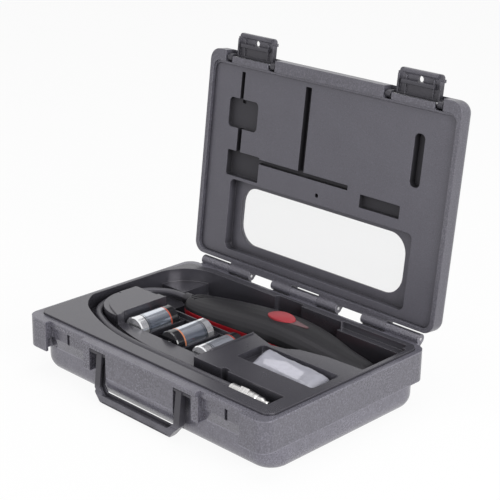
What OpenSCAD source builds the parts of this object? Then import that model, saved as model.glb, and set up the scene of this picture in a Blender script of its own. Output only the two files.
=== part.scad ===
/* [Case] */
// Depth taken by the probe's channel and the walls round the loose cells
front_room = 75; // [73:1:78]
// Depth taken by the clearances round the instrument
well_room = 42; // [41:1:46]
// Room left at the instrument's handle end
tail_margin = 13; // [12:0.5:16]
// Height of the base up to its rim ledge
base_h = 58; // [56:1:62]
// Height of the lid
lid_h = 20; // [20:1:24]
// Corner radius of the case in plan
corner_r = 12; // [10:1:16]
// Wall of the base shell
base_wall = 4; // [3:0.5:4.5]
// Wall of the lid shell
lid_wall = 3; // [2.5:0.5:4]
// Height of the ridge where the lower tub steps in
ridge_z = 27.4; // [24:0.2:30]
// Rounding of the tub's bottom edge
tub_edge_r = 15; // [10:1:18]
// Rounding of the lid's top edge
lid_edge_r = 9; // [6:1:9.5]
// Angle at which the lid stands open
lid_angle = 96; // [90:1:100]

/* [Liner] */
// Rise of the liner's edge above the rim ledge
tongue_h = 2; // [1:0.5:3]
// Wall of both formed liners
liner_wall = 1.8; // [1.2:0.2:2]
// Rim ledge left outside the liner at the sides
side_ledge = 5.5; // [5:0.5:7]
// Rim ledge left outside the liner at the front
front_ledge = 11.6; // [11:0.2:13]
// Half width of the probe channel
channel_half = 10.5; // [8:0.5:11]
// Depth of the lid liner's face inside the lid rim
lid_face_depth = 4; // [3:0.5:5]

/* [Hardware] */
// Diameter of the hinge knuckles
knuckle_d = 10; // [8:0.5:11]
// Diameter of the hinge pins
hinge_pin_d = 3; // [2:0.5:4]
// Distance from the handle's end to the middle of each latch
latch_room = 46.5; // [45:0.5:50]
// Width of a latch plate
latch_w = 50; // [44:1:52]
// Diameter of the latch pins
latch_pin_d = 3; // [2:0.5:3]
// Outer width of the carry handle
handle_w = 115; // [112:1:120]
// Thickness of the handle arms
arm_t = 7; // [5:0.5:8]
// Diameter of the handle's trunnions
trunnion_d = 5; // [4:0.5:5.5]

/* [Instrument] */
// Width of the instrument's body
tool_w = 53; // [51:0.5:54]
// Height of the instrument's body
tool_h = 44; // [42:0.5:45]
// Length of the instrument ahead of its battery bay
nose_l = 43; // [41:1:46]
// Length of the instrument behind its battery bay
tail_l = 39; // [36:1:42]
// Length of the oval button
button_l = 32; // [26:1:34]
// Width of the oval button
button_w = 19; // [15:1:21]
// Diameter of the sleeved gooseneck
flex_d = 8.5; // [7:0.5:9]
// Hexagon size of the probe fitting, across flats
hex_af = 12; // [10:0.5:13]
// Radius of the probe's bend behind its nose
bend1_r = 40; // [38:1:42]
// Radius of the probe's bend at the front corner
bend2_r = 45; // [42:1:48]
// Radius of the probe's long sweep to the front
sweep_r = 223; // [210:1:240]

/* [Window] */
// Width of the lid's window
window_w = 217; // [210:1:222]
// Height of the lid's window
window_h = 61; // [56:1:63]

/* [Contents] */
// Diameter of a C cell
cell_d = 26.2; // [25:0.1:26.2]
// Length of a C cell
cell_l = 50; // [48:0.5:50]

/* [Hidden] */
$fn = 64;
fit = 0.05;        // radial clearance of a pin in its bore
gap = 0.3;         // clearance between separate mouldings
flange_t = 2.2;    // flange of the base liner, let into the rim ledge
over = 1;          // how far a cut runs past a face
rim_gap = 0.2;     // gap left between the closed lid and the base rim

// The instrument holds three cells in a row. The case is as wide as the instrument and the
// probe's loop ahead of it, and as deep as the instrument with a loose cell before it.
cells_held = 3;
cell_play = 4;
loop_lead = 17;
loop_margin = 9.75;
bay_l = cells_held * cell_l + cell_play;
tool_l = nose_l + bay_l + tail_l;
loop_room = loop_lead + bend1_r + flex_d / 2 + loop_margin;
case_w = loop_room + tool_l + tail_margin;
case_d = front_room + cell_l + well_room + tool_w;
half_w = case_w / 2;
half_d = case_d / 2;

// Places in plan, measured in from the four outer faces of the case
function left(d) = -half_w + d;
function right(d) = half_w - d;
function front(d) = -half_d + d;
function rear(d) = half_d - d;

deck = base_h + tongue_h;        // top of the base liner
shut_h = base_h + lid_h;         // top of the closed lid

// Lower tub, narrower than the rim band
tub_in = 2.5;
tub_r = 24;
tub_front = -half_d + 13;
tub_back = half_d - 3;

// Hinge
hinge_y = half_d + 7.5;
hinge_z = base_h + 2.7;
knuckle_r = knuckle_d / 2;
knuckle_gap = 0.4;
base_knuckles = [[left(14), left(54)], [-18, 18], [right(54), right(14)]];
web_x = [44, 76];                            // space left open between two knuckles
hinge_windows = [[-web_x[1], -web_x[0]], web_x];
lid_knuckles = [
    [left(54) + knuckle_gap, -web_x[1]], [-web_x[0], -18 - knuckle_gap],
    [18 + knuckle_gap, web_x[0]], [web_x[1], right(54) - knuckle_gap]
];

// Latches: the pivot is given for the closed lid
latch_y = front(6.8);
latch_z = base_h + 4.5;
latch_reach = 26;
ear_w = 6;
ear_r = 3.5;
ear_gap = 2;
latch_x = handle_w / 2 + latch_room;
latch_zone = [latch_x - 26, latch_x + 27];
lip_h = 6;
lip_y = front(5.5);

// Carry handle
pivot_y = front(6);
pivot_z = base_h - 9.5;
arm_half = 3.5;
grip_z = [3, 12];
grip_y = [front(-3), front(6)];
arm_recess = [handle_w / 2 - 11.5, handle_w / 2 + 11.5];
trunnion_x = [handle_w / 2 - 15, handle_w / 2 + 16.5];

// Instrument: its nose, middle line and underside in the case
tool_x = left(loop_room);
tool_y = rear(well_room - 13.5 + tool_w / 2);
tool_z = deck + 4 - tool_h;
well_y = rear(well_room + tool_w);           // front edge of the instrument's well

// Probe route, in plan: nose, left bend, front bend, sweep, straight run to the tip
flex_r = flex_d / 2;
flex_z = deck - 10.5;
run_rise = 2.7;                              // rise of the probe along the sweep
run_z = flex_z + run_rise;
nose_y = tool_y - 10;
bend1_c = [tool_x - loop_lead, nose_y - bend1_r];
loop_x = bend1_c[0] - bend1_r;
bend2_c = [loop_x + bend2_r, front(100)];
run_y = front(36.5);
sweep_y = run_y + sweep_r;
sweep_c = [bend2_c[0] + sqrt(pow(sweep_r - bend2_r, 2) - pow(sweep_y - bend2_c[1], 2)), sweep_y];
meet_a = atan2(bend2_c[1] - sweep_c[1], bend2_c[0] - sweep_c[0]) + 360;
lap_a = 1.5;                                 // degrees by which the channel's arcs overlap
run_x = right(68);
hex_x = run_x + 6;
hex_l = 16;
tip_x = hex_x + hex_l;
tip_l = 16;

// Loose contents
cell_r = cell_d / 2;
cell_z = deck - cell_r - 1.9;
cell_y = front(front_room - 6);
cell_xs = [left(79), left(127.3), left(172.1)];
tray_x = [cell_xs[0] - cell_r - 1.4, cell_xs[2] + cell_r + 1.3];
step_z = deck - 10;
pocket_floor = deck - 8;

// Sections of the instrument's body: share of its length, then middle, half width, top and
// bottom as shares of its width and height
stations = [
    [0, -0.189, 0.17, 0.795, 0.432], [0.0127, -0.189, 0.264, 0.83, 0.295],
    [0.0466, -0.17, 0.358, 0.841, 0.159], [0.1144, -0.123, 0.434, 0.864, 0.068],
    [0.2288, -0.057, 0.49, 0.909, 0.011], [0.3771, 0, 0.5, 0.966, 0], [0.5042, 0.009, 0.5, 1, 0],
    [0.6314, 0, 0.481, 0.966, 0], [0.7373, -0.038, 0.425, 0.909, 0],
    [0.8432, -0.104, 0.34, 0.852, 0.023], [0.928, -0.16, 0.302, 0.83, 0.068],
    [0.9788, -0.189, 0.274, 0.795, 0.114], [1, -0.198, 0.217, 0.727, 0.205]
];
rings_per_station = 3;
ring_points = 28;
squareness = 2.6;
seam_low = tool_h - 26;
seam_high = tool_h - 17;
bay_x = [nose_l, nose_l + bay_l];
bay_y = -2;
bay_r = cell_r + 0.9;
bay_top = seam_low + 8;
button_x = 114;
button_y = 0.5;
button_top = tool_h + 2;
button_base = tool_h - 4;
door_t = 2;
screw_r = 1.6;
screw_seat = 8;
tool_rests = [[9, 5.4], [tool_l - 20, 2]];   // place and height of the ribs under the instrument
screw_places = [
    [21, -7], [nose_l - 9, 7], [nose_l - 9, -17], [tool_l - 29, -14], [tool_l - 29, 0],
    [tool_l - 11, -9]
];

// ---------- shared shapes ----------

module rounded(x0, y0, x1, y1, r) {
    translate([x0 + r, y0]) square([x1 - x0 - 2 * r, y1 - y0]);
    translate([x0, y0 + r]) square([x1 - x0, y1 - y0 - 2 * r]);
    for (x = [x0 + r, x1 - r], y = [y0 + r, y1 - r]) translate([x, y]) circle(r);
}

module prism(z0, z1) {
    translate([0, 0, z0]) linear_extrude(z1 - z0) children();
}

module along_x(x0, x1) {
    translate([x0, 0, 0]) rotate([90, 0, 90]) linear_extrude(x1 - x0) children();
}

module along_y(y0, y1) {
    translate([0, y1, 0]) rotate([90, 0, 0]) linear_extrude(y1 - y0) children();
}

module rod_x(x0, x1, y, z, r) {
    along_x(x0, x1) translate([y, z]) circle(r);
}

// Straight bar with round ends between two points
module bar(p, q, r) {
    translate(p) rotate(atan2(q[1] - p[1], q[0] - p[0])) {
        translate([0, -r]) square([norm(q - p), 2 * r]);
        circle(r);
        translate([norm(q - p), 0]) circle(r);
    }
}

module tub_section(a0, a1, h, e) {
    translate([a0 + e, 0]) square([a1 - a0 - 2 * e, h]);
    translate([a0, e]) square([a1 - a0, h - e]);
    for (a = [a0 + e, a1 - e]) translate([a, e]) circle(e);
}

module tub_corner(r, h, e) {
    rotate_extrude() intersection() {
        tub_section(-r, r, h, e);
        square([r, h]);
    }
}

// Tray shape with round corners in plan and a round bottom edge
module tub(x0, y0, x1, y1, h, r, e) {
    for (x = [x0 + r, x1 - r], y = [y0 + r, y1 - r]) translate([x, y, 0]) tub_corner(r, h, e);
    along_y(y0 + r, y1 - r) tub_section(x0, x1, h, e);
    along_x(x0 + r, x1 - r) tub_section(y0, y1, h, e);
}

module both_sides() {
    children();
    mirror([1, 0, 0]) children();
}

module opened() {
    translate([0, hinge_y, hinge_z]) rotate([-lid_angle, 0, 0])
        translate([0, -hinge_y, -hinge_z]) children();
}

module pie(c, r, a0, a1) {
    translate(c) polygon([[0, 0], for (i = [0:4]) let (a = a0 + (a1 - a0) * i / 4) 2 * r * [cos(a), sin(a)]]);
}

module arc_band(c, r0, r1, a0, a1) {
    intersection() {
        translate(c) difference() {
            circle(r1, $fn = 128);
            circle(r0, $fn = 128);
        }
        pie(c, r1, a0, a1);
    }
}

// ---------- base ----------

module liner_outline(g) {
    rounded(left(side_ledge) - g, front(front_ledge) - g, right(side_ledge) + g, rear(6) + g, 10);
}

// Raised edge of the liner, well rounded behind the probe's loop
module tongue_plan() {
    big_r = bend1_r;
    difference() {
        liner_outline(0);
        translate([left(side_ledge), rear(6)]) difference() {
            translate([-over, -big_r]) square(big_r + over);
            translate([big_r, -big_r]) circle(big_r, $fn = 128);
        }
    }
}

module base_knuckle(span) {
    rod_x(span[0], span[1], hinge_y, hinge_z, knuckle_r);
    along_x(span[0], span[1]) polygon([
        [rear(1), base_h - 12], [rear(1), base_h - 0.5], [hinge_y, base_h - 0.5],
        [hinge_y + knuckle_r - 1, hinge_z - 3]
    ]);
}

// Shelf that closes the slit under a knuckle of the lid
module hinge_shelf(span) {
    along_x(span[0], span[1]) polygon([
        [rear(1), base_h - 12], [rear(1), base_h - 3], [hinge_y, hinge_z - knuckle_r - 0.4],
        [hinge_y, hinge_z - knuckle_r - 2.4]
    ]);
}

module front_bulge() {
    bulge_r = 30;
    along_x(-arm_recess[0], arm_recess[0]) {
        translate([front(3), bulge_r]) square([bulge_r, base_h - 5 - bulge_r]);
        intersection() {
            translate([front(3) + bulge_r, bulge_r]) circle(bulge_r);
            translate([front(0), 0]) square([bulge_r + 3, bulge_r]);
        }
    }
}

module base_body() {
    tub(-half_w + tub_in, tub_front, half_w - tub_in, tub_back, ridge_z + over, tub_r, tub_edge_r);
    prism(ridge_z, base_h) rounded(-half_w, -half_d, half_w, half_d, corner_r);
    front_bulge();
    for (span = base_knuckles) base_knuckle(span);
    for (span = lid_knuckles) hinge_shelf(span);
}

// Room inside the tub, t in from its outer face
module shell_room(t) {
    translate([0, 0, t]) tub(-half_w + tub_in + t, tub_front + t, half_w - tub_in - t, tub_back - t,
        base_h, tub_r - t, tub_edge_r - t);
}

module latch_seat() {
    along_x(latch_zone[0], latch_zone[1]) polygon([
        [front(-over), base_h + over], [lip_y, base_h + over], [lip_y, base_h - lip_h],
        [lip_y + 3, base_h - lip_h], [lip_y + 3, base_h - 18], [tub_front, ridge_z],
        [tub_front, ridge_z - over], [front(-over), ridge_z - over]
    ]);
    translate([latch_x + 1.25, lip_y + 3 - over, base_h - 19]) cube([3.5, 4 + over, 12]);
    prism(ridge_z - over, ridge_z + 13)
        rounded(latch_zone[1] - 4, front(2.5), latch_zone[1] + 7, tub_front - 1, 2);
}

module arm_seat() {
    translate([arm_recess[0], front(-over), 20])
        cube([arm_recess[1] - arm_recess[0], 13 + over, base_h - 25]);
    translate([arm_recess[1] - over, front(-over), ridge_z - over])
        cube([latch_zone[0] - arm_recess[1] + 2 * over, 3 + over, base_h - 5 - ridge_z + over]);
    rod_x(trunnion_x[0] - 0.5, trunnion_x[1] + 0.5, pivot_y, pivot_z, trunnion_d / 2 + fit);
}

module base_shell() {
    color("#3f4045") difference() {
        base_body();
        shell_room(base_wall);
        prism(base_h - flange_t, base_h + over) liner_outline(0.2);
        translate([-arm_recess[0] - over, front(-over), ridge_z - over])
            cube([2 * arm_recess[0] + 2 * over, 3 + over, base_h - 5 - ridge_z + over]);
        both_sides() latch_seat();
        both_sides() arm_seat();
        rod_x(-half_w, half_w, hinge_y, hinge_z, hinge_pin_d / 2 + fit);
    }
}

// Plan of the probe channel, grown by g
module channel_plan(g) {
    h = channel_half + g;
    arc_band(sweep_c, sweep_r - h, sweep_r + h, meet_a - lap_a, 270);
    intersection() {
        arc_band(bend2_c, bend2_r - h, bend2_r + h, 180, meet_a - 2 * lap_a);
        translate([left(8.5) - g, front(0)]) square([half_w, case_d]);
    }
    translate([left(8.5) - g, bend2_c[1] - over]) square([13 + 2 * g, 24]);
    translate([sweep_c[0] - over, run_y - h]) square([right(20) - sweep_c[0], 2 * h]);
}

module cell_tray(g) {
    prism(cell_z, deck + over)
        rounded(tray_x[0] - g, cell_y - 1 - g, tray_x[1] + g, cell_y + cell_l + 5 + g, 2 + g);
    for (x = cell_xs) translate([x, 0, cell_z]) along_y(cell_y - 1 - g, cell_y + cell_l + 1.5 + g)
        circle(cell_r + 0.4 + g);
}

module tool_well_plan(g) {
    polygon([
        [left(47) - g, well_y - g], [left(187) + g, well_y - g], [left(191) + g, well_y - 1 - g],
        [right(103) + g, well_y - 8.5 - g], [right(88) + g, well_y - 5 - g],
        [right(77) + g, well_y + 3 - g], [right(48), well_y + 10 - g], [right(9.5) + g, well_y + 12 - g],
        [right(9.5) + g, rear(20) + g], [right(94) + g, rear(20) + g],
        [right(94) + g, rear(14) + g], [left(47) - g, rear(14) + g]
    ]);
}

module left_pocket_plan(g) {
    intersection() {
        rounded(left(8.5) - g, front(50), left(220), rear(14) + g, bend1_r);
        translate([left(8.5) - g, well_y - 3 - g]) square([44 + 2 * g, 90 + g]);
    }
}

module wells(g) {
    intersection() {
        pockets(g);
        shell_room(base_wall + 0.2 + liner_wall - g);
    }
}

module pockets(g) {
    top = g > 0 ? deck - liner_wall : deck + over;
    prism(flex_z - flex_r - 0.25 - g, top) channel_plan(g);
    prism(run_z - hex_af / 2 - 1.5 - g, top)
        rounded(run_x - 10 - g, run_y - channel_half - g, right(21) + g, run_y + channel_half + g, 2);
    prism(tool_z - 9 - g, top) tool_well_plan(g);
    prism(deck - 24 - g, top) rounded(left(138) - g, rear(22), left(174) + g, rear(9) + g, 3);
    prism(deck - 7 - g, top) rounded(right(94), rear(30), right(14) + g, rear(12) + g, 3);
    prism(deck - 26 - g, top) left_pocket_plan(g);
    prism(deck - 24 - g, top)
        rounded(right(98) - g, run_y - channel_half - g, right(90) + g, run_y + 14.5 + g, 1);
    prism(pocket_floor - g, top)
        rounded(right(108) - g, well_y - 49 - g, right(15) + g, well_y - 13 + g, 3);
    cell_tray(g);
    deck_step(g);
}

// Lower deck round the cells, open to the channel and to the instrument's well
module deck_step(g) {
    top = g > 0 ? deck - liner_wall : deck + over;
    prism(step_z - g, top) polygon([
        [left(66) - g, front(53) - g], [left(93), front(51.5) - g], [left(122), front(50) - g],
        [tray_x[1] + g, front(48) - g], [tray_x[1] + g, well_y + over], [tray_x[0] - g, well_y + over]
    ]);
}

// Solid left standing inside the probe's loop
module liner_island() {
    inset = flex_r + 0.8;
    prism(deck - 30, deck - 1.5) intersection() {
        union() {
            translate(bend1_c) circle(bend1_r - inset, $fn = 128);
            translate(bend2_c) circle(bend2_r - inset, $fn = 128);
            translate([loop_x + inset, bend2_c[1]]) square([bend1_r, bend1_c[1] - bend2_c[1]]);
        }
        translate([loop_x, bend2_c[1] - bend2_r])
            square([tray_x[0] - 1.5 - loop_x, well_y + bend2_r - bend2_c[1]]);
    }
}

module base_liner() {
    color("#36373b") difference() {
        union() {
            prism(base_h - flange_t, base_h) liner_outline(0);
            prism(base_h - flange_t, deck) tongue_plan();
            wells(liner_wall);
        }
        difference() {
            wells(0);
            liner_island();
            rests();
        }
        translate([left(204), well_y - 26, step_z]) cylinder(h = 20, r = 1.2);
    }
}

// Cross ribs that carry the instrument and the probe
module rests() {
    for (r = tool_rests) translate([tool_x + r[0], tool_y - 25, 0]) cube([6, 40, tool_z + r[1]]);
    intersection() {
        prism(base_wall, deck - 14) left_pocket_plan(0);
        translate([left(0), rear(50), 0]) cube([42, 60, deck]);
    }
}

module hinge_pin(x0, x1) {
    color("silver") rod_x(x0, x1, hinge_y, hinge_z, hinge_pin_d / 2);
}

module hinge_pin_left() {
    hinge_pin(base_knuckles[0][0], lid_knuckles[0][1]);
}

module hinge_pin_centre() {
    hinge_pin(lid_knuckles[1][0], lid_knuckles[2][1]);
}

module hinge_pin_right() {
    hinge_pin(lid_knuckles[3][0], base_knuckles[2][1]);
}

// ---------- lid, drawn closed and then opened about the hinge ----------

window_y = rear(51.5);
window_front = window_y - window_h / 2 - 6;  // front edge of the recess round the window
pane_t = 2;
face_z = base_h + lid_face_depth;
pane_z = shut_h - lid_wall - pane_t;

module window_plan(g, r) {
    rounded(-window_w / 2 - g, window_y - window_h / 2 - g, window_w / 2 + g,
        window_y + window_h / 2 + g, r);
}

module lid_knuckle(span) {
    rod_x(span[0], span[1], hinge_y, hinge_z, knuckle_r);
    along_x(span[0], span[1]) polygon([
        [rear(1), base_h + 1], [rear(1), base_h + 16], [hinge_y + 4, hinge_z + 2.9],
        [hinge_y - 2.5, base_h + 0.7]
    ]);
}

// Web along the lid's back edge above an open space in the hinge
module hinge_web(span) {
    translate([span[0] - over, rear(1), base_h + rim_gap])
        cube([span[1] - span[0] + 2 * over, 4.5, 4]);
}

module latch_bay(x) {
    half = latch_w / 2 + ear_gap + ear_w + 1.5;
    translate([x - half, front(-over), base_h - over])
        cube([2 * half, latch_y + half_d + 5.2 + over, 14 + over]);
    rod_x(x - half - 5, x + half + 5, latch_y, latch_z, latch_pin_d / 2 + fit);
}

module latch_strip(x) {
    half = latch_w / 2;
    translate([x - half, latch_y - 1.6, base_h]) cube([2 * half, 8, 2.6]);
    translate([x - half, latch_y + 3.6, base_h]) cube([2 * half, 2, 5.4]);
}

module lid_shell() {
    color("#45464b") opened() difference() {
        union() {
            translate([0, 0, shut_h]) mirror([0, 0, 1])
                tub(-half_w, -half_d, half_w, half_d, lid_h - rim_gap, corner_r, lid_edge_r);
            for (span = lid_knuckles) lid_knuckle(span);
            for (span = hinge_windows) hinge_web(span);
        }
        prism(base_h - over, base_h + 2.6) rounded(left(5), front(11.3), right(5), rear(4), 9);
        prism(base_h + 2, face_z + 2) rounded(left(5), front(14), right(5), rear(4), 9);
        prism(base_h + 2, shut_h - lid_wall) rounded(left(8), front(17), right(8), rear(7), 8);
        prism(base_h, shut_h + over) window_plan(2, 22);
        for (s = [-1, 1]) difference() {
            latch_bay(s * latch_x);
            latch_strip(s * latch_x);
        }
        rod_x(-half_w, half_w, hinge_y, hinge_z, hinge_pin_d / 2 + fit);
    }
}

// Recesses of the lid liner: x0, y0, x1, y1, depth, corner radius
lid_recesses = [
    [left(43), front(19), left(48), window_front - 80, 8, 1],
    [left(29), window_front - 85, left(70), window_front - 54, 5, 5],
    [left(44), window_front - 54, left(50), window_front - 25, 8, 1],
    [left(32), window_front - 30, left(78), window_front - 3, 8, 2],
    [left(78), window_front - 28, right(123), window_front - 23, 6, 1],
    [left(131), front(19), left(139), window_front - 28, 8, 1],
    [right(51), window_front - 95, right(39), window_front - 44, 9, 5],
    [right(107), window_front - 23, right(58), window_front - 10, 7, 1],
    [left(157), window_front - 11, left(161), window_front - 7, 5, 1.5]
];

module lid_wells(g) {
    top = g > 0 ? face_z + liner_wall : face_z - over;
    for (s = lid_recesses)
        prism(top, face_z + s[4] + g) rounded(s[0] - g, s[1] - g, s[2] + g, s[3] + g, s[5] + g);
    half = window_w / 2 + 11.5;
    prism(top, pane_z - liner_wall + g)
        rounded(-half - g, window_front - g, half + g, window_y + window_h / 2 + 9 + g, 6);
    if (g == 0) prism(top, shut_h) window_plan(0, 20);
}

module lid_liner() {
    color("#4a4b50") opened() difference() {
        union() {
            prism(face_z, face_z + 2) rounded(left(5.3), front(14.2), right(5.3), rear(4.3), 8.7);
            lid_wells(liner_wall);
        }
        lid_wells(0);
    }
}

module window_pane() {
    color("#dfe6ea", 0.4) opened() prism(pane_z, pane_z + pane_t) window_plan(6, 24);
}

// ---------- latches, drawn for the closed lid, swung open ----------

module latch() {
    plate_z = latch_z + 4.5;
    tip_y = latch_y - latch_reach;
    half = latch_w / 2;
    ear_x = half + ear_gap;
    difference() {
        union() {
            prism(plate_z, plate_z + 2.5) rounded(-half, tip_y, half, latch_y + 3.7, 3.5);
            // side flanges and two long ribs
            for (s = [-1, 1]) {
                translate([s * (half - 1) - 1, tip_y + 6, plate_z - 2.5]) cube([2, latch_reach - 4, 3]);
                translate([s * (half - 9) - 0.8, tip_y + 6, plate_z - 1.5]) cube([1.6, latch_reach - 4, 2]);
                translate([s * (half + 0.6) - 1, tip_y + 4, plate_z]) cube([2, 3, 2.5]);
            }
            // curled tip
            rod_x(-half + 5, half - 5, tip_y + 2.5, plate_z, 2.5);
            // catch that hooks under the base lip
            along_x(-half + 6, half - 6) polygon([
                [latch_y - 15.5, latch_z - 0.2], [latch_y - 12.2, latch_z - 0.2],
                [latch_y - 11, plate_z + 1], [latch_y - 16.5, plate_z + 1]
            ]);
            // pivot ears
            translate([-ear_x - ear_w, latch_y - 3.3, plate_z - 1]) cube([2 * (ear_x + ear_w), 7, 3.5]);
            for (s = [-1, 1]) {
                c = s * (ear_x + ear_w / 2);
                rod_x(c - ear_w / 2, c + ear_w / 2, latch_y, latch_z, ear_r);
                translate([c - ear_w / 2, latch_y - ear_r, latch_z]) cube([ear_w, 2 * ear_r, 4]);
            }
        }
        rod_x(-half - 20, half + 20, latch_y, latch_z, latch_pin_d / 2 + fit);
        translate([0, tip_y + 8, plate_z - 5]) cylinder(h = 10, r = 3);
    }
}

module latch_left() {
    color("#3a3b40") opened() translate([-latch_x, 0, 0]) latch();
}

module latch_right() {
    color("#3a3b40") opened() translate([latch_x, 0, 0]) latch();
}

module latch_pin(x) {
    half = latch_w / 2 + ear_gap + ear_w + 6;
    color("silver") opened() rod_x(x - half, x + half, latch_y, latch_z, latch_pin_d / 2);
}

module latch_pin_left() {
    latch_pin(-latch_x);
}

module latch_pin_right() {
    latch_pin(latch_x);
}

// ---------- carry handle ----------

// Opening of the handle, m larger than it is
module handle_opening(m) {
    inner = handle_w / 2 - arm_t + m;
    polygon([
        [-inner, pivot_z + 7], [-inner, 18 - m / 2], [-inner + 6, grip_z[1] - m],
        [inner - 6, grip_z[1] - m], [inner, 18 - m / 2], [inner, pivot_z + 7]
    ]);
}

module handle_front() {
    outer = handle_w / 2;
    difference() {
        polygon([
            [-outer, pivot_z + 6], [-outer, 16], [-outer + 11, grip_z[0]], [outer - 11, grip_z[0]],
            [outer, 16], [outer, pivot_z + 6]
        ]);
        handle_opening(0);
    }
}

// Side view of an arm and the grip, drawn in by t
module handle_side(t) {
    mid_y = (grip_y[0] + grip_y[1]) / 2;
    bar([pivot_y, pivot_z], [mid_y + 1, 14], arm_half - t);
    rounded(grip_y[0] + t, grip_z[0] + t, grip_y[1] - t, grip_z[1] + 2 - t, 2.5 - t);
}

module carry_handle() {
    color("#47484d") {
        difference() {
            intersection() {
                along_y(grip_y[0] - over, pivot_y + 10) handle_front();
                along_x(-handle_w, handle_w) handle_side(0);
            }
            // channel round the inner side of the arms and the grip
            intersection() {
                along_y(grip_y[0] - over, pivot_y + 10) handle_opening(3.5);
                along_x(-handle_w, handle_w) handle_side(1.5);
                translate([-handle_w, front(-20), 0]) cube([2 * handle_w, 40, pivot_z - 9]);
            }
            // line along the foot of the grip
            translate([-handle_w / 2 + 13, grip_y[0] - over, grip_z[0] + 1.6])
                cube([handle_w - 26, over + 0.8, 1.4]);
        }
        both_sides() rod_x(trunnion_x[0], trunnion_x[1], pivot_y, pivot_z, trunnion_d / 2);
    }
}

// ---------- instrument ----------

function blend(a, b, c, d, t) =
    0.5 * (2 * b + (c - a) * t + (2 * a - 5 * b + 4 * c - d) * t * t + (3 * b - a - 3 * c + d) * t * t * t);

function station_at(u) =
    let (last = len(stations) - 1, i = min(floor(u), last - 1), t = u - i)
    blend(stations[max(i - 1, 0)], stations[i], stations[i + 1], stations[min(i + 2, last)], t);

function bulged(v) = sign(v) * pow(abs(v), 2 / squareness);

function ring(s) = [
    for (k = [0:ring_points - 1]) let (a = 360 * k / ring_points) [
        tool_l * s[0], tool_w * (s[1] + s[2] * bulged(cos(a))),
        tool_h * (s[3] + s[4] + (s[3] - s[4]) * bulged(sin(a))) / 2
    ]
];

// Loft through the stations, closed by flat ends
module tool_form() {
    rings = (len(stations) - 1) * rings_per_station;
    n = ring_points;
    points = [for (j = [0:rings]) each ring(station_at(j / rings_per_station))];
    sides = [
        for (j = [0:rings - 1], k = [0:n - 1]) let (a = j * n + k, b = j * n + (k + 1) % n)
            each [[a, a + n, b], [b, a + n, b + n]]
    ];
    ends = [
        [for (k = [0:n - 1]) k],
        [for (k = [n - 1:-1:0]) rings * n + k]
    ];
    polyhedron(points, concat(sides, ends));
}

// The instrument is drawn from its nose, its middle line and its underside
module in_well() {
    translate([tool_x, tool_y, tool_z]) children();
}

module slab(z0, z1) {
    translate([-over, -tool_w, z0]) cube([tool_l + 2 * over, 2 * tool_w, z1 - z0]);
}

// Battery bay: a trough open at the bottom, under the door
module bay() {
    rod_x(bay_x[0], bay_x[1], bay_y, bay_top - bay_r, bay_r);
    translate([bay_x[0], bay_y - bay_r, -over]) cube([bay_l, 2 * bay_r, bay_top - bay_r + over]);
}

// Box round the bay, from z0 up by h, m larger than the bay
module bay_box(m_x, m_y, z0, h) {
    translate([bay_x[0] - m_x, bay_y - bay_r - m_y, z0]) cube([bay_l + 2 * m_x, 2 * (bay_r + m_y), h]);
}

module screw_holes(z0, h, r) {
    for (p = screw_places) translate([p[0], p[1], z0]) cylinder(h = h, r = r);
}

module stem_hole() {
    rod_x(-5, 14, nose_y - tool_y, flex_z - tool_z, flex_r + fit);
}

module oval(l, w) {
    polygon([for (k = [0:39]) let (a = 9 * k) [l / 2 * cos(a), w / 2 * sin(a)]]);
}

module lens_plan() {
    polygon([
        [button_x + 13, button_y - 5.5], [button_x + 34, button_y - 1.2],
        [button_x + 34, button_y + 1.2], [button_x + 13, button_y + 5.5]
    ]);
}

module lower_housing() {
    color("#3b3c41") in_well() difference() {
        union() {
            intersection() {
                tool_form();
                slab(-over, seam_low);
            }
            bay_box(4, 2, seam_low - over, seam_high - seam_low + over);
        }
        bay();
        // seat of the battery door
        bay_box(2, 1.5, -over, door_t + over);
        screw_holes(-over, seam_low + 2 * over, screw_r + fit);
        screw_holes(-over, screw_seat + over, 2 * screw_r);
    }
}

module side_band() {
    color("#c0202b") in_well() difference() {
        intersection() {
            tool_form();
            slab(seam_low, seam_high);
        }
        bay_box(4 + gap, 2 + gap, seam_low - over, seam_high - seam_low + 2 * over);
        screw_holes(seam_low - over, seam_high - seam_low + 2 * over, screw_r + fit);
        stem_hole();
    }
}

module upper_housing() {
    color("#54565b") in_well() difference() {
        intersection() {
            tool_form();
            slab(seam_high, tool_h + over);
        }
        // room for the circuit board
        translate([nose_l - 14, -15, seam_high - over]) cube([120, 28, 9 + over]);
        screw_holes(seam_high - over, 5, screw_r + fit);
        translate([button_x, button_y, seam_high]) linear_extrude(20)
            oval(button_l + 2 * gap, button_w + 2 * gap);
        prism(tool_h - 3, tool_h + over) lens_plan();
        // vent slots across the nose
        for (i = [0:2]) prism(tool_h - 11, tool_h + over)
            arc_band([48, -33], 40.6 + 4.4 * i, 42.6 + 4.4 * i, 128, 158);
        stem_hole();
    }
}

module power_button() {
    color("#d8404a") in_well() translate([button_x, button_y, 0]) {
        intersection() {
            translate([0, 0, button_base]) linear_extrude(10) oval(button_l, button_w);
            translate([0, 0, button_top - 60]) sphere(60, $fn = 96);
        }
        translate([0, 0, button_base - 2]) cylinder(h = 3, r = 4);
    }
}

module indicator_lens() {
    color("#c9a4a8") in_well() prism(tool_h - 3, tool_h - 0.6) difference() {
        lens_plan();
        translate([button_x, button_y]) oval(button_l + 2 * gap, button_w + 2 * gap);
    }
}

board_z = seam_high + 1;
board_t = 1.6;

module circuit_board() {
    in_well() {
        color("#2f6b45") prism(board_z, board_z + board_t) rounded(nose_l, -13, nose_l + 102, 11, 2);
        color("#2b2b2e") translate([button_x - 3, button_y - 3, board_z + board_t]) cube([6, 6, 4]);
    }
}

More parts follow.
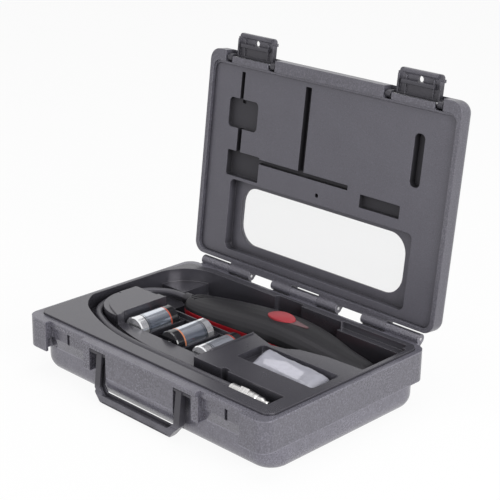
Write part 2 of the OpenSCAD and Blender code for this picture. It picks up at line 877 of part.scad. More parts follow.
module beeper() {
    color("#222326") in_well() translate([nose_l + 16, -1, board_z + board_t]) difference() {
        cylinder(h = 5.2, r = 7);
        translate([0, 0, 4.2]) cylinder(h = 2, r = 1.5);
    }
}

module battery_door() {
    color("#3b3c41") in_well() difference() {
        bay_box(2 - gap, 1.5 - gap, 0, door_t - 0.2);
        for (i = [0:4]) translate([bay_x[1] - 48 + 6 * i, bay_y - 9, -over]) cube([2, 18, over + 0.6]);
    }
}

module battery_contacts() {
    color("silver") in_well() {
        for (x = [bay_x[0], bay_x[1] - 0.6]) translate([x, bay_y - 8, 4]) cube([0.6, 16, 16]);
        for (i = [0:3]) rod_x(bay_x[1] - 3 - 2 * i, bay_x[1] - 2 * i, bay_y, bay_top - bay_r, 6 - i);
    }
}

module housing_screws() {
    color("silver") in_well() {
        screw_holes(screw_seat, seam_high + 3.5 - screw_seat, screw_r);
        screw_holes(screw_seat - 2, 2, 3);
    }
}

// ---------- probe ----------

module neck_ferrule() {
    color("#2e2f33") difference() {
        rod_x(tool_x - 9, tool_x, nose_y, flex_z, 6.2);
        rod_x(tool_x - 10, tool_x + 1, nose_y, flex_z, flex_r + fit);
    }
}

// Points of an arc, each with its direction of travel in plan, climbing by rise
function arc_path(c, r, a0, a1, steps, rise) = [
    for (i = [0:steps]) let (t = i / steps, a = a0 + (a1 - a0) * t)
        [c[0] + r * cos(a), c[1] + r * sin(a), a + 90, rise * t * t * (3 - 2 * t)]
];

flex_path = concat(
    [[tool_x + 13, nose_y, 180, 0]],
    arc_path(bend1_c, bend1_r, 90, 180, 10, 0),
    arc_path(bend2_c, bend2_r, 180, meet_a, 8, 0),
    arc_path(sweep_c, sweep_r, meet_a + 2, 270, 6, run_rise),
    [[run_x / 2, run_y, 0, run_rise], [run_x, run_y, 0, run_rise]]
);

module swept_tube(path, r, sides) {
    last = len(path) - 1;
    points = [
        for (p = path, k = [0:sides - 1]) let (b = 360 * k / sides)
            [p[0] + r * cos(b) * sin(p[2]), p[1] - r * cos(b) * cos(p[2]), p[3] + r * sin(b)]
    ];
    walls = [
        for (j = [0:last - 1], k = [0:sides - 1]) let (a = j * sides + k, b = j * sides + (k + 1) % sides)
            each [[a, b, a + sides], [b, b + sides, a + sides]]
    ];
    ends = [
        [for (k = [sides - 1:-1:0]) k],
        [for (k = [0:sides - 1]) last * sides + k]
    ];
    polyhedron(points, concat(walls, ends));
}

module gooseneck() {
    color("#55575c") translate([0, 0, flex_z]) swept_tube(flex_path, flex_r, 16);
}

module hex_fitting() {
    color("#c8c9cc") {
        difference() {
            rod_x(run_x - 6, hex_x, run_y, run_z, 5.4);
            rod_x(run_x - 7, run_x, run_y, run_z, flex_r + fit);
        }
        translate([hex_x, run_y, run_z]) rotate([0, 90, 0])
            cylinder(h = hex_l - 6, r = hex_af / 2 / cos(30), $fn = 6);
        rod_x(hex_x + hex_l - 6, tip_x, run_y, run_z, 5.4);
    }
}

module sensor_tip() {
    color("#d2d3d6") translate([tip_x, run_y, run_z]) rotate([0, 90, 0]) rotate_extrude()
        polygon([[0, 0], [5, 0], [5, 3], [4.4, 3.4], [4.4, 9], [3, 11.5], [3, tip_l - 0.6],
            [2.4, tip_l], [1.2, tip_l], [1.2, tip_l - 4], [0, tip_l - 4]]);
}

// ---------- loose contents ----------

// A C cell lies along Y; end is +1 where the raised contact points back
module cell(x, end) {
    mid_y = cell_y + cell_l / 2;
    translate([x, mid_y, cell_z]) rotate([-90 * end, 0, 0]) translate([0, 0, -cell_l / 2])
        rotate_extrude() polygon([
            [0, 0.5], [cell_r - 3.5, 0.5], [cell_r - 3.2, 0], [cell_r - 1, 0], [cell_r, 1],
            [cell_r, cell_l - 3], [cell_r - 0.6, cell_l - 1.8], [3.8, cell_l - 1.8],
            [3.6, cell_l - 0.3], [3.3, cell_l], [0, cell_l]
        ]);
}

module cell_1() {
    color("#b9bec8") cell(cell_xs[0], 1);
}

module cell_2() {
    color("#b9bec8") cell(cell_xs[1], -1);
}

module cell_3() {
    color("#b9bec8") cell(cell_xs[2], 1);
}

module spare_bag() {
    color("#d9dce2", 0.6) prism(pocket_floor + 0.3, pocket_floor + 4.5) polygon([
        [right(103), well_y - 15], [right(97), well_y - 13.8], [right(27), well_y - 14],
        [right(18.5), well_y - 30], [right(20), well_y - 46], [right(93), well_y - 47.5],
        [right(104), well_y - 24]
    ]);
}

module spare_label() {
    color("white") prism(pocket_floor + 4.5, pocket_floor + 4.8) polygon([
        [right(91), well_y - 29], [right(73), well_y - 20], [right(46), well_y - 25],
        [right(40), well_y - 41], [right(85), well_y - 38]
    ]);
}

base_shell();
base_liner();
hinge_pin_left();
hinge_pin_centre();
hinge_pin_right();
lid_shell();
lid_liner();
window_pane();
latch_left();
latch_right();
latch_pin_left();
latch_pin_right();
carry_handle();
lower_housing();
side_band();
upper_housing();
power_button();
indicator_lens();
circuit_board();
beeper();
battery_door();
battery_contacts();
housing_screws();
neck_ferrule();
gooseneck();
hex_fitting();
sensor_tip();
cell_1();
cell_2();
cell_3();
spare_bag();
spare_label();
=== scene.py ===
import math

import bmesh
import bpy
from mathutils import Matrix, Vector, noise


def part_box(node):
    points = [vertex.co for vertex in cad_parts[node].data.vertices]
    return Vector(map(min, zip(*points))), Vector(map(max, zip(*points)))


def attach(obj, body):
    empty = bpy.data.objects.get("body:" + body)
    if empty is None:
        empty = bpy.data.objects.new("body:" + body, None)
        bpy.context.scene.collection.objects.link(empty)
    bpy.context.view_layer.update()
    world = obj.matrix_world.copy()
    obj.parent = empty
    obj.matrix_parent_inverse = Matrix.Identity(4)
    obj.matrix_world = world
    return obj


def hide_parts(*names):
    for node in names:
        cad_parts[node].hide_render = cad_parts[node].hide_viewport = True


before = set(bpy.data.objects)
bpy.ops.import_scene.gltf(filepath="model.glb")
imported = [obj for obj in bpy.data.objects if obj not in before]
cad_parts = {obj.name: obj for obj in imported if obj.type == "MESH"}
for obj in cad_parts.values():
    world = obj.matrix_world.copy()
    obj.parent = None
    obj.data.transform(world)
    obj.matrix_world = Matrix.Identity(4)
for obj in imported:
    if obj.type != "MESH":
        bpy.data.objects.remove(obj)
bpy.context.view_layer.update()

# ---------------------------------------------------------------------------
# Camera: a long lens a little above the case, looking down into it from its
# front right corner, turned a little about its own axis.

scene = bpy.context.scene
scene.view_settings.view_transform = "Standard"

azimuth = math.radians(43.896)
elevation = math.radians(20.259)
roll = math.radians(1.123)
aim = Vector((0.1433, -0.11354, 0.20738))
distance = 1.07494
lens = 98.04
sensor_width = 36

back = Vector((math.sin(azimuth) * math.cos(elevation),
               -math.cos(azimuth) * math.cos(elevation), math.sin(elevation)))
right = (-back).cross(Vector((0, 0, 1))).normalized()
up = right.cross(-back)
tilted_right = right * math.cos(roll) + up * math.sin(roll)
tilted_up = up * math.cos(roll) - right * math.sin(roll)
camera = bpy.data.objects.new("camera", bpy.data.cameras.new("camera"))
camera.data.lens = lens
camera.data.sensor_width = sensor_width
camera.data.clip_start = 0.05
camera.matrix_world = Matrix.Translation(aim + back * distance) @ Matrix(
    (tilted_right, tilted_up, back)).transposed().to_4x4()
scene.collection.objects.link(camera)
scene.camera = camera

# ---------------------------------------------------------------------------
# Base shell: the outer tub of the case, injection moulded in dark grey
# polypropylene with a spark-eroded grain, polished along the edges that rub; the
# rim ledge's edge is painted paler for wear and highlight, the ridge carries a
# painted highlight, and the lower tub is painted lighter as painted light.

MM = 0.001


def grey(level, tint=1.08):
    """Linear colour of a plain grey that reads as `level` out of 255, a little blue."""
    def linear(v):
        v /= 255
        return v / 12.92 if v <= 0.04045 else ((v + 0.055) / 1.055) ** 2.4
    return (linear(level), linear(level * 0.985), linear(min(level * tint, 255)), 1)


def shade(colour, factor):
    """The same colour, `factor` times as bright."""
    return tuple(c * factor for c in colour[:3]) + (1,)


class Wire:
    """A shader value on which arithmetic can be written."""

    def __init__(self, nodes, socket):
        self.nodes = nodes
        self.socket = socket

    def maths(self, operation, *values):
        return self.nodes.node("Math", {"operation": operation}, dict(enumerate(values)))

    def __add__(self, other):
        return self.maths("ADD", self, other)

    def __radd__(self, other):
        return self.maths("ADD", other, self)

    def __sub__(self, other):
        return self.maths("SUBTRACT", self, other)

    def __rsub__(self, other):
        return self.maths("SUBTRACT", other, self)

    def __mul__(self, other):
        return self.maths("MULTIPLY", self, other)

    def __rmul__(self, other):
        return self.maths("MULTIPLY", other, self)

    def above(self, value, soft=0.0):
        """1 where this is over value, with an edge that is `soft` wide."""
        if not soft:
            return self.maths("GREATER_THAN", self, value)
        return self.nodes.node("MapRange", {"interpolation_type": "SMOOTHSTEP"},
                               {0: self, 1: value - soft / 2, 2: value + soft / 2, 3: 0.0, 4: 1.0})

    def between(self, low, high, soft=0.0):
        """1 from low to high, with the same soft edges."""
        return self.above(low, soft) * (1 - self.above(high, soft))


class Nodes:
    """The node tree of a material or of the world."""

    def __init__(self, tree):
        self.tree = tree

    def node(self, kind, settings=None, values=None, out=0):
        """Adds a node: its settings first, then the values or links of its sockets."""
        made = self.tree.nodes.new("ShaderNode" + kind)
        for key, value in (settings or {}).items():
            setattr(made, key, value)
        for key, value in (values or {}).items():
            self.feed(made.inputs[key], value)
        return Wire(self, made.outputs[out])

    def feed(self, socket, value):
        if isinstance(value, Wire):
            self.tree.links.new(value.socket, socket)
        else:
            socket.default_value = value

    def noise(self, scale, detail=2.0, rough=0.5, where=None):
        return self.node("TexNoise", values={"Vector": where or self.place(), "Scale": scale,
                                             "Detail": detail, "Roughness": rough})

    def place(self, stretch=(1, 1, 1)):
        """The point on the piece, in metres, that moves with it."""
        spot = self.node("TexCoord", out="Object")
        return self.node("Mapping", values={"Vector": spot, "Scale": stretch})

    def axis(self, letter):
        """One coordinate of that point."""
        return self.node("SeparateXYZ", values={0: self.node("TexCoord", out="Object")}, out=letter)

    def mix(self, factor, a, b):
        return self.node("Mix", {"data_type": "RGBA"}, {0: factor, 6: a, 7: b}, out=2)

    def bump(self, height, distance, strength=1.0, skin=None):
        values = {"Height": height, "Distance": distance, "Strength": strength}
        if skin:
            values["Normal"] = skin
        return self.node("Bump", values=values)

    def corners(self, radius):
        """The skin as if its corners had this radius, and a mask of those corners."""
        skin = self.node("Bevel", {"samples": 4}, {"Radius": radius})
        flat = self.node("NewGeometry", out="Normal")
        turn = 1 - self.node("VectorMath", {"operation": "DOT_PRODUCT"},
                             {0: skin, 1: flat}, out="Value")
        return skin, turn.above(0.12, 0.2)


class Finish(Nodes):
    """A material with its surface shader."""

    def __init__(self, name):
        self.material = bpy.data.materials.new(name)
        self.material.use_nodes = True
        super().__init__(self.material.node_tree)
        self.shader = self.tree.nodes["Principled BSDF"]

    def put(self, **values):
        """Sets or links the surface shader's own sockets: base_color means Base Color."""
        for key, value in values.items():
            label = key.replace("_", " ").title().replace("Ior", "IOR")
            self.feed(self.shader.inputs[label], value)
        return self.material


def moulded(name, colour, roughness, grain=2600, depth=0.00004, sheen=0.5, mottle=0.15,
            edge=0.0009, nook_shade=0.0, wear_and_highlight=None, shaded=None):
    """Moulded plastic: clouded colour, mottled grain, uneven gloss, corners painted pale as a painted
    highlight and as wear.

    nook_shade paints shade into the nooks; wear_and_highlight gives a mask of polished places painted
    pale, for wear and painted highlight; shaded gives a mask of sunken places with painted shade.
    """
    finish = Finish(name)
    cloud = finish.noise(38, 4.0, 0.6)
    patch = finish.noise(9, 3.0, 0.55)
    fine = finish.noise(grain, 3.0, 0.7)
    grain_top, grain_pit = shade(colour, 3.0), shade(colour, 0.2)
    wear_and_highlight_tone, nook_shade_tone, recess_shade_tone = shade(colour, 2.6), shade(colour, 0.12), shade(colour, 0.08)

    tone = finish.mix(cloud, shade(colour, 0.88), shade(colour, 1.12))
    tone = finish.mix(fine.above(0.56, 0.12) * mottle, tone, grain_top)
    tone = finish.mix((1 - fine.above(0.44, 0.12)) * mottle, tone, grain_pit)
    gloss = roughness + 0.16 * (patch - 0.5) + 0.08 * (fine - 0.5)
    skin, corner = finish.corners(edge)
    # Corners painted paler: a painted highlight along the edges, and wear.
    tone = finish.mix(corner * finish.noise(30, 4.0, 0.6).above(0.4, 0.3) * 0.5, tone, wear_and_highlight_tone)
    # Painted shade: nooks and corners darkened where ambient occlusion is low.
    if nook_shade:
        shelter = finish.node("AmbientOcclusion", {"samples": 6}, {"Distance": 0.012}, out="AO")
        tone = finish.mix((1 - shelter.above(0.7, 0.5)) * nook_shade, tone, nook_shade_tone)
    # Painted shade on sunken places.
    if shaded:
        tone = finish.mix(shaded(finish) * 0.85, tone, recess_shade_tone)
        gloss = gloss + 0.3 * shaded(finish)
    # Painted paler and polished: wear, and painted highlight where the mask marks lit edges.
    if wear_and_highlight:
        wear_and_highlight_mask = wear_and_highlight(finish) * (0.4 + 0.6 * finish.noise(55, 4.0, 0.65).above(0.45, 0.3))
        tone = finish.mix(wear_and_highlight_mask, tone, wear_and_highlight_tone)
        gloss = gloss - 0.08 * wear_and_highlight_mask
    return finish.put(base_color=tone, roughness=gloss, specular_ior_level=sheen,
                      specular_tint=(0.96, 0.93, 1, 1), normal=finish.bump(fine, depth, 0.8, skin))


def dress(material, *nodes):
    """Puts a finish on carried-over CAD nodes."""
    for name in nodes:
        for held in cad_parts[name].material_slots:
            held.material = material


def soften(width, *pieces):
    """A small moulded radius on the sharp edges of CAD nodes or pieces."""
    for piece in pieces:
        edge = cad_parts.get(piece, piece).modifiers.new("edge radius", "BEVEL")
        edge.width = width
        edge.segments = 2
        edge.limit_method = "ANGLE"
        edge.angle_limit = math.radians(32)
        edge.harden_normals = True


# Heights of the paler bands: the rim ledge's edge (wear and painted highlight) and the ridge (painted
# highlight); below tub_top the lower tub is painted lighter as painted light.
ledge_heights = (0.0568, 0.0592)
ridge_heights = (0.0266, 0.0282)
tub_top = 0.0262


def rim_highlight_and_wear(finish):
    """Painted paler: the outer edge of the rim ledge (wear and painted highlight), the ridge (painted
    highlight), and the lower tub (painted light).
    """
    height = finish.axis("Z")
    ledge = height.between(*ledge_heights, 0.0008)
    ridge = height.between(*ridge_heights, 0.0006)
    return 0.35 * ledge + 0.7 * ridge + 0.3 * (1 - height.above(tub_top, 0.001))


dress(moulded("case grey", grey(80), 0.27, grain=620, depth=0.0002, sheen=0.95, mottle=0.3,
              wear_and_highlight=rim_highlight_and_wear), "base_shell")
soften(0.6 * MM, "base_shell")

# ---------------------------------------------------------------------------
# Base liner: one formed insert that holds everything, smoother than the shell
# and a shade darker, pressed into the rebate of the rim. The low deck in front
# of the cells runs straight into the probe channel, with no wall between them.


wall_low = (-66, -66, 50)
wall_high = (26.5, -57, 62)


def mesh_object(name, vertices, faces):
    """A piece made of these points, in metres, and these faces."""
    mesh = bpy.data.meshes.new(name)
    mesh.from_pydata([Vector(v) for v in vertices], [], faces)
    mesh.validate()
    mesh.shade_smooth()
    made = bpy.data.objects.new(name, mesh)
    scene.collection.objects.link(made)
    return made


def cut_out(name, node, low, high):
    """A copy of a CAD node's skin with a box cut out of it, low and high in mm."""
    skin = bmesh.new()
    skin.from_mesh(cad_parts[node].data)
    bmesh.ops.remove_doubles(skin, verts=skin.verts, dist=0.001 * MM)
    mesh = bpy.data.meshes.new(name)
    skin.to_mesh(mesh)
    skin.free()
    made = bpy.data.objects.new(name, mesh)
    scene.collection.objects.link(made)
    corners = [(x * MM, y * MM, z * MM) for x in (low[0], high[0]) for y in (low[1], high[1])
               for z in (low[2], high[2])]
    block = mesh_object(name + "_cut", corners, [(0, 1, 3, 2), (4, 6, 7, 5), (0, 4, 5, 1),
                                                 (2, 3, 7, 6), (0, 2, 6, 4), (1, 5, 7, 3)])
    cut = made.modifiers.new("cut", "BOOLEAN")
    cut.operation = "DIFFERENCE"
    cut.solver = "EXACT"
    cut.object = block
    cut_skin = made.evaluated_get(bpy.context.evaluated_depsgraph_get())
    made.data = bpy.data.meshes.new_from_object(cut_skin)
    made.modifiers.clear()
    bpy.data.objects.remove(block)
    if "custom_normal" in made.data.attributes:
        made.data.attributes.remove(made.data.attributes["custom_normal"])
    made.data.shade_smooth()
    made.data.set_sharp_from_angle(angle=math.radians(30))
    made.data.materials.clear()
    return made


# Its nooks carry painted shade.
liner_grey = moulded("liner grey", grey(58), 0.24, grain=2200, depth=0.00002, mottle=0.1,
                     sheen=0.9, nook_shade=0.35)
tray = cut_out("liner_tray", "base_liner", wall_low, wall_high)
tray.data.materials.append(liner_grey)
soften(0.5 * MM, tray)
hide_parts("base_liner")
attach(tray, "base")

# ---------------------------------------------------------------------------
# Hinge and latch pins: straight lengths of drawn steel wire, pushed through
# the knuckles, with draw lines along X.


def drawn_steel(name, colour, roughness):
    """Bright metal with draw lines along X."""
    finish = Finish(name)
    lines = finish.noise(1.0, 2.0, 0.5, where=finish.place((30, 4000, 4000)))
    return finish.put(base_color=finish.mix(lines, shade(colour, 0.8), shade(colour, 1.1)),
                      metallic=1.0, roughness=roughness + 0.2 * lines,
                      normal=finish.bump(lines, 0.00002, 0.5))


dress(drawn_steel("pin steel", (0.62, 0.62, 0.63, 1), 0.28), "hinge_pin_left", "hinge_pin_centre",
      "hinge_pin_right", "latch_pin_left", "latch_pin_right")

# ---------------------------------------------------------------------------
# Lid: shell in the same grained plastic as the base, with a smoother formed
# liner let into its rim.

hinge_y, hinge_z = 0.1175, 0.0607
open_angle = math.radians(96)
recess_depth = 0.0024
window_top = 0.158


def recess_shade(finish):
    """The floors of the liner's recesses above the window, which lie in shade; a mask for painted
    shade.
    """
    depth = (finish.axis("Y") - hinge_y) * math.sin(open_angle) + (
        finish.axis("Z") - hinge_z) * math.cos(open_angle)
    return depth.above(recess_depth, 0.0006) * finish.axis("Z").above(window_top, 0.002)


lid_grey = moulded("lid grey", grey(76), 0.34, grain=700, depth=0.00012, sheen=0.75, mottle=0.25)
# The lid liner's nooks and the floors of its recesses carry painted shade.
lid_liner_grey = moulded("lid liner grey", grey(76), 0.38, grain=1400, depth=0.00004, sheen=0.6,
                         nook_shade=0.8, shaded=recess_shade)
dress(lid_grey, "lid_shell")
dress(lid_liner_grey, "lid_liner")
soften(0.5 * MM, "lid_shell", "lid_liner")

# ---------------------------------------------------------------------------
# Window: a clear acrylic sheet, trapped between the lid shell and its liner
# when the two are pressed together.

acrylic = Finish("clear acrylic")
haze = acrylic.noise(20, 3.0, 0.6)
dress(acrylic.put(base_color=(0.34, 0.35, 0.37, 1), roughness=0.03 + 0.05 * haze, ior=1.49,
                  alpha=0.08), "window_pane")

# ---------------------------------------------------------------------------
# Latches: smooth grey mouldings that snap over the base lip, each on its own
# steel pin, polished at the tip by fingers.


rubbed_above = 0.296


def rubbed_tip(finish):
    """The free end of each latch, which stands highest while the lid is open."""
    return finish.axis("Z").above(rubbed_above, 0.006)


latch_grey = moulded("latch grey", grey(50), 0.32, grain=2400, depth=0.00003, wear_and_highlight=rubbed_tip)
dress(latch_grey, "latch_left", "latch_right")
soften(0.3 * MM, "latch_left", "latch_right")

# ---------------------------------------------------------------------------
# Carry handle: one hollow U-shaped moulding whose arms end in trunnions, its
# grip polished by the hand.


grip_top = 0.017


def rubbed_grip(finish):
    """The crossbar, which hangs lowest."""
    return 1 - finish.axis("Z").above(grip_top, 0.008)


handle_grey = moulded("handle grey", grey(52), 0.32, grain=1800, depth=0.00006, mottle=0.1,
                      wear_and_highlight=rubbed_grip)
dress(handle_grey, "carry_handle")
soften(0.4 * MM, "carry_handle")

# ---------------------------------------------------------------------------
# Instrument housing: two charcoal mouldings screwed together over a red band,
# with a fine matt grain.

charcoal = moulded("charcoal housing", grey(22), 0.46, grain=1900, depth=0.00005, sheen=0.32,
                   mottle=0.1)
dress(charcoal, "upper_housing", "lower_housing", "battery_door")
red_band = moulded("red band", (0.36, 0.010, 0.018, 1), 0.34, grain=2600, depth=0.00002)
dress(red_band, "side_band")

# ---------------------------------------------------------------------------
# Power button and light window: a soft oval membrane and a smoked wedge for
# the lamp behind it, both let into the top of the housing.

membrane = moulded("red membrane", (0.34, 0.035, 0.045, 1), 0.4, grain=3000, depth=0.00002, sheen=0.35)
dress(membrane, "power_button")

smoked = Finish("smoked lens")
depth_cloud = smoked.noise(160, 2.0, 0.5)
dress(smoked.put(base_color=smoked.mix(depth_cloud, (0.08, 0.035, 0.04, 1), (0.19, 0.10, 0.11, 1)),
                 roughness=0.3, specular_ior_level=0.2), "indicator_lens")

# ---------------------------------------------------------------------------
# Inside the housing: green circuit board, black beeper, nickel contacts and
# six zinc screws from underneath.

mask_green = Finish("solder mask")
tracks = mask_green.node("TexBrick", values={"Vector": mask_green.place(), "Scale": 260})
dress(mask_green.put(base_color=mask_green.mix(0.5, (0.01, 0.09, 0.03, 1), tracks), roughness=0.35),
      "circuit_board")
dress(moulded("beeper black", grey(28), 0.5), "beeper")
dress(drawn_steel("nickel", (0.74, 0.72, 0.69, 1), 0.16), "battery_contacts")
dress(drawn_steel("zinc screw", (0.5, 0.5, 0.52, 1), 0.35), "housing_screws")

# ---------------------------------------------------------------------------
# Probe stem: a gooseneck in a tight rubber sleeve that shows its coils faintly.
# It leaves the nose, goes round the island and climbs to the trough in front.

nose_x, nose_y = -89, 45
bend_1 = (-106, 5)
bend_1_r = 40
bend_2 = (-101, -10)
bend_2_r = 45
side_x = -146
sweep_r = 223
run_y = -73.5
fitting_x = 91
stem_z = 49.5
climb = 2.7
sweep = (bend_2[0] + math.sqrt((sweep_r - bend_2_r) ** 2 - (run_y + sweep_r - bend_2[1]) ** 2),
         run_y + sweep_r)


def arc(centre, radius, start, end, height=lambda share: 0.0, step=0.4):
    """Points in mm along a plan arc from start to end in degrees."""
    count = round(abs(math.radians(end - start)) * radius / step)
    points = []
    for i in range(count + 1):
        a = math.radians(start + (end - start) * i / count)
        points.append(Vector((centre[0] + radius * math.cos(a), centre[1] + radius * math.sin(a),
                              stem_z + height(i / count))))
    return points


def straight(start, end, step=0.4):
    """Points in mm along a line."""
    start, end = Vector(start), Vector(end)
    count = round((end - start).length / step)
    return [start.lerp(end, i / count) for i in range(count + 1)]


join = math.degrees(math.atan2(bend_2[1] - sweep[1], bend_2[0] - sweep[0])) + 360
route = (straight((nose_x, nose_y, stem_z), (bend_1[0], nose_y, stem_z))
         + arc(bend_1, bend_1_r, 90, 180)
         + straight((side_x, bend_1[1], stem_z), (side_x, bend_2[1], stem_z))
         + arc(bend_2, bend_2_r, 180, join)
         + arc(sweep, sweep_r, join, 270, lambda share: climb * share * share * (3 - 2 * share))
         + straight((sweep[0], run_y, stem_z + climb), (fitting_x, run_y, stem_z + climb)))


def sleeve(name, path, radius, pitch, rib, sides=24):
    """A tube along a path in mm, its skin drawn in a little between the coils."""
    points = [p for i, p in enumerate(path) if i == 0 or (p - path[i - 1]).length > 1e-3]
    vertices, run = [], 0.0
    for i, p in enumerate(points):
        before, after = points[max(i - 1, 0)], points[min(i + 1, len(points) - 1)]
        ahead = (after - before).normalized()
        run += (p - before).length
        size = radius - rib * (0.5 - 0.5 * math.cos(2 * math.pi * run / pitch)) ** 3
        side = ahead.cross(Vector((0, 0, 1))).normalized()
        lift = side.cross(ahead)
        for k in range(sides):
            a = 2 * math.pi * k / sides
            vertices.append((p + side * size * math.cos(a) + lift * size * math.sin(a)) * MM)
    faces = [(j * sides + k, j * sides + (k + 1) % sides, (j + 1) * sides + (k + 1) % sides,
              (j + 1) * sides + k) for j in range(len(points) - 1) for k in range(sides)]
    faces.append(tuple(reversed(range(sides))))
    faces.append(tuple(range((len(points) - 1) * sides, len(points) * sides)))
    return mesh_object(name, vertices, faces)


stem = sleeve("gooseneck_sleeve", route, radius=4.24, pitch=2.4, rib=0.16)
stem.data.materials.append(moulded("sleeve rubber", grey(62), 0.26, grain=1200, depth=0.00002,
                                   mottle=0.08))
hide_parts("gooseneck")
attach(stem, "instrument")

dress(moulded("ferrule black", grey(34), 0.36), "neck_ferrule")

# ---------------------------------------------------------------------------
# Probe fitting and sensor tip: turned brass, bright nickel plated, with fine
# tool marks round the axis.

plated = Finish("turned nickel")
marks = plated.noise(1.0, 2.0, 0.5, where=plated.place((900, 60, 60)))
dress(plated.put(base_color=plated.mix(marks, (0.42, 0.41, 0.41, 1), (0.78, 0.77, 0.76, 1)),
                 metallic=1.0, roughness=0.16 + 0.16 * marks,
                 normal=plated.bump(marks, 0.00002, 0.4)), "hex_fitting", "sensor_tip")

# ---------------------------------------------------------------------------
# C cells: steel cans in a silver printed sleeve, a dark streak painted along one
# side as a painted reflection, a dark band and a thin copper ring at the raised
# contact, plain bright metal at the flat end.


cell_length = 0.05
bare_end = 0.0088
thin_lines = ((0.0088, 0.0098), (0.0112, 0.0118))
copper_ring = (0.0374, 0.0390)
dark_band = (0.0392, 0.0484)
near_black = (0.03, 0.03, 0.035, 1)
band_black = (0.012, 0.012, 0.014, 1)


def cell_finish(name, low, middle, end, accent):
    """end is +1 where the raised contact points to +Y, and -1 where it points to -Y."""
    finish = Finish(name)
    span = finish.axis("Y") - low
    along = span if end > 0 else cell_length - span
    height = finish.axis("Z") - middle
    brushed = finish.noise(1.0, 2.0, 0.5, where=finish.place((900, 40, 900)))
    silver = finish.mix(brushed, (0.50, 0.54, 0.62, 1), (0.84, 0.87, 0.92, 1))
    # Painted reflection: a blue-grey band at a fixed height along the sleeve.
    reflection_band = height.between(0.0015, 0.0095, 0.004)
    silver = finish.mix(reflection_band * 0.75, silver, (0.13, 0.16, 0.22, 1))
    bright = finish.mix(brushed, (0.80, 0.81, 0.84, 1), (0.95, 0.95, 0.96, 1))
    dark = along.between(*dark_band)
    ring = along.between(*copper_ring)
    lines = along.between(*thin_lines[0]) + along.between(*thin_lines[1])
    body = finish.mix(along.above(bare_end), bright, silver)
    body = finish.mix(along.above(dark_band[1]), body, bright)
    body = finish.mix(lines, body, near_black)
    body = finish.mix(dark, body, band_black)
    body = finish.mix(ring, body, accent)
    return finish.put(base_color=body, metallic=0.8 * (1 - dark) * (1 - ring),
                      roughness=0.08 + 0.1 * brushed, coat_weight=0.5)


cell_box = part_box("cell_1")
cell_low = cell_box[0].y
cell_middle = (cell_box[0].z + cell_box[1].z) / 2
dress(cell_finish("cell 1 sleeve", cell_low, cell_middle, 1, (0.42, 0.07, 0.03, 1)), "cell_1")
dress(cell_finish("cell 2 sleeve", cell_low, cell_middle, -1, (0.55, 0.20, 0.09, 1)), "cell_2")
dress(cell_finish("cell 3 sleeve", cell_low, cell_middle, 1, (0.42, 0.05, 0.03, 1)), "cell_3")

# ---------------------------------------------------------------------------
# Spares bag: a small clear film bag, heat sealed round its edge, lying slack
# in its pocket with a plain white label inside it.

bag_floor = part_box("spare_bag")[0].z
bag_corners = [Vector(c) * MM for c in ((66.5, -32), (140.5, -31.2), (57, 0.6), (134.5, 0.8))]
fullness = 5.6
raised_corner = 3.4
lower_skin = 0.25 * MM
skin_gap = 0.2 * MM


def bag_spot(u, v):
    """The place at shares u and v of the bag's outline."""
    low = bag_corners[0].lerp(bag_corners[1], u)
    high = bag_corners[2].lerp(bag_corners[3], u)
    return low.lerp(high, v)


def film(name, columns=64, rows=32):
    """Two skins sealed at the edge; the upper one crowned and creased."""
    vertices, faces = [], []
    for skin in (0, 1):
        for j in range(rows + 1):
            for i in range(columns + 1):
                u, v = i / columns, j / rows
                p = bag_spot(u, v)
                edge = min(1.0, min(u, 1 - u) * 12) * min(1.0, min(v, 1 - v) * 8)
                fill = edge ** 0.35
                crease = noise.noise(Vector((u * 5, v * 3, 1.7))) + 0.5 * noise.noise(
                    Vector((u * 13, v * 7, 4.1)))
                fold = abs(noise.noise(Vector((u * 3 + v * 2, v * 2 - u, 9.0))))
                slack = fullness + raised_corner * (1 - u) * v + 0.7 * crease - 0.9 * fold
                rise = fill * slack * MM if skin else 0
                vertices.append((p.x, p.y, bag_floor + lower_skin + rise + skin_gap * skin))
    layer = (columns + 1) * (rows + 1)
    for skin in (0, 1):
        for j in range(rows):
            for i in range(columns):
                a = skin * layer + j * (columns + 1) + i
                quad = (a, a + 1, a + columns + 2, a + columns + 1)
                faces.append(quad if skin else tuple(reversed(quad)))
    ring = (list(range(columns + 1))
            + [(j + 1) * (columns + 1) - 1 for j in range(1, rows + 1)]
            + [rows * (columns + 1) + i for i in range(columns - 1, -1, -1)]
            + [j * (columns + 1) for j in range(rows - 1, 0, -1)])
    for a, b in zip(ring, ring[1:] + ring[:1]):
        faces.append((a, b, b + layer, a + layer))
    return mesh_object(name, vertices, faces)


bag = film("film_bag")
clear_film = Finish("bag film")
wrinkle = clear_film.noise(180, 4.0, 0.6)
bag.data.materials.append(clear_film.put(
    base_color=(0.62, 0.62, 0.70, 1), roughness=0.12 + 0.1 * wrinkle, alpha=0.5,
    normal=clear_film.bump(wrinkle, 0.0006, 0.5)))
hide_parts("spare_bag")
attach(bag, "bag")

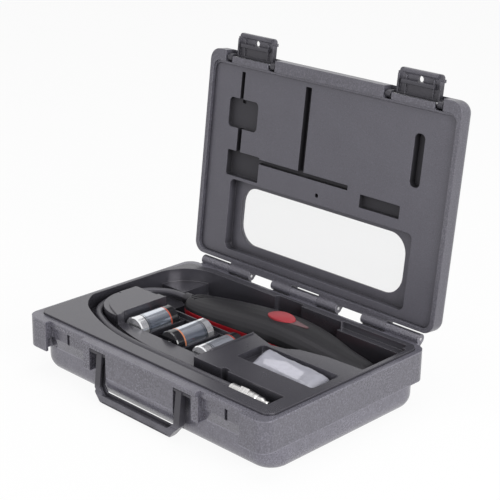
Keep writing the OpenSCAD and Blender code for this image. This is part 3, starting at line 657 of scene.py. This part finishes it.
label_paper = Finish("label paper")
fibres = label_paper.noise(700, 4.0, 0.7)
dress(label_paper.put(
    base_color=label_paper.mix(fibres, (0.76, 0.75, 0.80, 1), (0.90, 0.89, 0.93, 1)),
    roughness=0.7, normal=label_paper.bump(fibres, 0.00002, 0.4)), "spare_label")

# ---------------------------------------------------------------------------
# Studio: a plain white floor, a white surround and three soft boxes. None of
# it is part of the object.

sweep_paper = Finish("white sweep")
lamp_aim = Vector((0.0, 0.0, 0.1))


def direct_view(nodes):
    """1 for what the camera sees directly, in gloss or through clear pieces."""
    seen = nodes.node("LightPath", out="Is Camera Ray")
    for kind in ("Is Glossy Ray", "Is Transmission Ray"):
        seen = seen.maths("MAXIMUM", seen, nodes.node("LightPath", out=kind))
    return seen


sweep_paper.put(base_color=(0.9, 0.9, 0.9, 1), roughness=0.8)
paper = Wire(sweep_paper, sweep_paper.shader.outputs[0])
glow = sweep_paper.node("Emission", values={"Color": (1, 1, 1, 1), "Strength": 1.0})
surface = sweep_paper.node("MixShader",
                           values={0: direct_view(sweep_paper) * 0.92, 1: paper, 2: glow})
sweep_paper.feed(sweep_paper.tree.nodes["Material Output"].inputs["Surface"], surface)
floor = mesh_object("floor", [(-6, -6, 0), (6, -6, 0), (6, 6, 0), (-6, 6, 0)], [(0, 1, 2, 3)])
floor.data.materials.append(sweep_paper.material)

world = bpy.data.worlds.new("studio")
scene.world = world
world.use_nodes = True
air = Nodes(world.node_tree)
sky = air.tree.nodes["Background"]
air.feed(sky.inputs["Color"], (1, 1, 1, 1))
air.feed(sky.inputs["Strength"], 0.4 + 0.6 * direct_view(air))


def soft_box(name, place, size, power):
    """A rectangular lamp that faces the case."""
    lamp = bpy.data.lights.new(name, "AREA")
    lamp.shape = "RECTANGLE"
    lamp.size, lamp.size_y = size
    lamp.energy = power
    made = bpy.data.objects.new(name, lamp)
    made.location = place
    made.rotation_euler = (lamp_aim - Vector(place)).to_track_quat("-Z", "Y").to_euler()
    scene.collection.objects.link(made)


soft_box("key_right", (1.7, -0.3, 0.8), (1.1, 1.1), 26)
soft_box("top", (-0.1, 0.1, 1.8), (1.6, 1.2), 12)
soft_box("fill_front", (0.1, -1.7, 0.35), (1.4, 0.5), 10)
